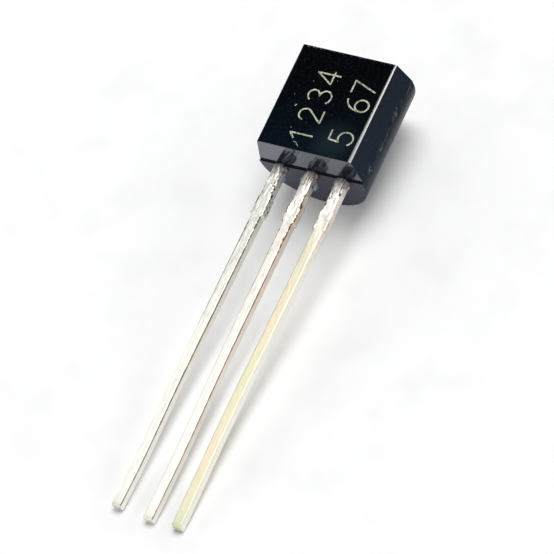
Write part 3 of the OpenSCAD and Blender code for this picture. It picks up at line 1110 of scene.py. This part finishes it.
# A row is its place across the flat, and then (figure, how far up the case).
ROWS = ((-0.38, ((1, 0.74), (2, 1.58), (3, 2.4), (4, 3.2))),
        (1.15, ((5, 1), (6, 2.38), (7, 3.08))))
figure_lines = [
    [(x - FIGURE_H * (v - 0.5), y + FIGURE_H * (u - 0.3), FRONT_D + 0.001)
     for u, v in FIGURES[figure]]
    for x, row in ROWS for figure, y in row
]
BURNT = make_residue("burnt_mark", (0.56, 0.57, 0.43), (0.05, 0.06, 0.03), 0.6, 0.07)
grow("plain_numbers", figure_lines, STROKES, {
    "Width": 0.062, "Thickness": 0.006, "Raggedness": 2.0, "Material": BURNT})

# %% Fibre
fibre_line = [(-0.55 + 0.26 * t, 0.42 - 0.17 * t + 0.05 * math.sin(math.pi * t),
               FRONT_D + 0.014) for t in (0, 0.2, 0.4, 0.6, 0.8, 1.0)]
grow("dust_fibre", [fibre_line], STROKES, {
    "Width": 0.016, "Thickness": 0.014, "Raggedness": 0.5, "Material": PALE_CHIP})

# %% [markdown]
# ## What is sealed inside
#
# The die, its bonding layer and the two bond wires keep their CAD shapes. They are inside
# the resin and don't show, but each still gets a material of its own kind.

# %% Materials for the sealed pieces
def make_metal(name, light, dark, rough, size):
    """A metal with fine patches, a little rough."""
    made, tree, skin = new_material(name)
    height, patches = grain(tree, case_space(tree), size, 4 * size)
    give(skin, {
        "Base Color": ramp(tree, patches, ((0.3, *dark), (0.7, *light))),
        "Roughness": ramp(tree, height, ((0.3, rough), (0.7, rough + 0.1))),
        "Metallic": 0.9,
        "Normal": bumps(tree, height, 0.3, 0.001),
    })
    return made


for nodes, *looks in (
    (("silicon_die",), "silicon", (0.42, 0.44, 0.5), (0.32, 0.34, 0.4), 0.15, 0.02),
    (("die_attach",), "bonding_silver", (0.72, 0.71, 0.68), (0.6, 0.59, 0.56), 0.5, 0.015),
    (("emitter_wire", "base_wire"), "gold_wire", (0.95, 0.72, 0.28), (0.88, 0.62, 0.2),
     0.2, 0.01),
):
    made = make_metal(*looks)
    for node in nodes:
        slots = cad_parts[node].data.materials
        slots.clear()
        slots.append(made)
    print(made.name, "on", nodes)

# %% [markdown]
# ## Table and light
#
# The table is plain white, and so bright that it burns out. One large soft lamp hangs
# almost straight above, a little towards the back. Half the light comes from it, and the
# rest from a bright band all round the room, up to some 30 degrees. Together they give
# soft shadows that are dark only close to the case. Between band and lamp the room is
# dark, and that is what the flat mirrors, so it stays black. The narrow facets on its
# edges lean just enough to mirror the lamp, and become thin bright lines.

# %% Table
TABLE_HALF = 1.5


def build_table(bm):
    """One large square."""
    corners = ((-1, -1), (1, -1), (1, 1), (-1, 1))
    bm.faces.new([bm.verts.new((x * TABLE_HALF, y * TABLE_HALF, 0)) for x, y in corners])


white, tree, skin = new_material("white_table")
where = add(tree, "ShaderNodeTexCoord", output="Object")
give(skin, {
    "Base Color": ramp(tree, clouds(tree, where, 420.0, 3.0), ((0.45, 0.855), (0.68, 0.82))),
    "Roughness": 0.9,
    "Specular IOR Level": 0.1,
})
table = plain_mesh("table_top", build_table, white)
table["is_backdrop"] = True
print("table:", 2 * TABLE_HALF, "m wide")

# %% Lamp
LAMP_AWAY, LAMP_HALF_ANGLE, LAMP_POWER = 0.8, math.radians(22.0), 5.9
way = Vector((0.1, 0.3, 1.0)).normalized()
light = bpy.data.lights.new("overhead", "AREA")
light.shape = "DISK"
light.size = 2 * LAMP_AWAY * math.tan(LAMP_HALF_ANGLE)
light.energy = LAMP_POWER
lamp = linked("overhead", light)
lamp.location = way * LAMP_AWAY
lamp.rotation_mode = "QUATERNION"
lamp.rotation_quaternion = way.to_track_quat("Z", "Y")
print(f"lamp: {light.size:.2f} m wide")

# %% The room
BAND_TOP, DARK_FROM, ROOM_LIGHT = 0.42, 0.56, 1.8
room = bpy.data.worlds.new("room")
room.use_nodes = True
tree = room.node_tree
around = add(tree, "ShaderNodeTexCoord", output="Generated")
rise = add(tree, "ShaderNodeSeparateXYZ", {0: around}, output=2)
give(tree.nodes["Background"], {
    "Color": ramp(tree, rise, ((BAND_TOP, 1.0), (DARK_FROM, 0.004, 0.006, 0.009))),
    "Strength": ROOM_LIGHT,
})
bpy.context.scene.world = room
bpy.context.scene.view_settings.view_transform = "Standard"
band_end = math.degrees(math.asin((BAND_TOP + DARK_FROM) / 2))
print(f"the bright band ends at {band_end:.0f} degrees")

# %% [markdown]
# ## The finished size
#
# The box round the finished model is printed, in millimetres. The finished model has to
# fit in the box of the CAD model.

# %% The visual box
low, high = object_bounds()
print("visual box in mm:", [round(1000 * v, 3) for v in (*low, *high)])
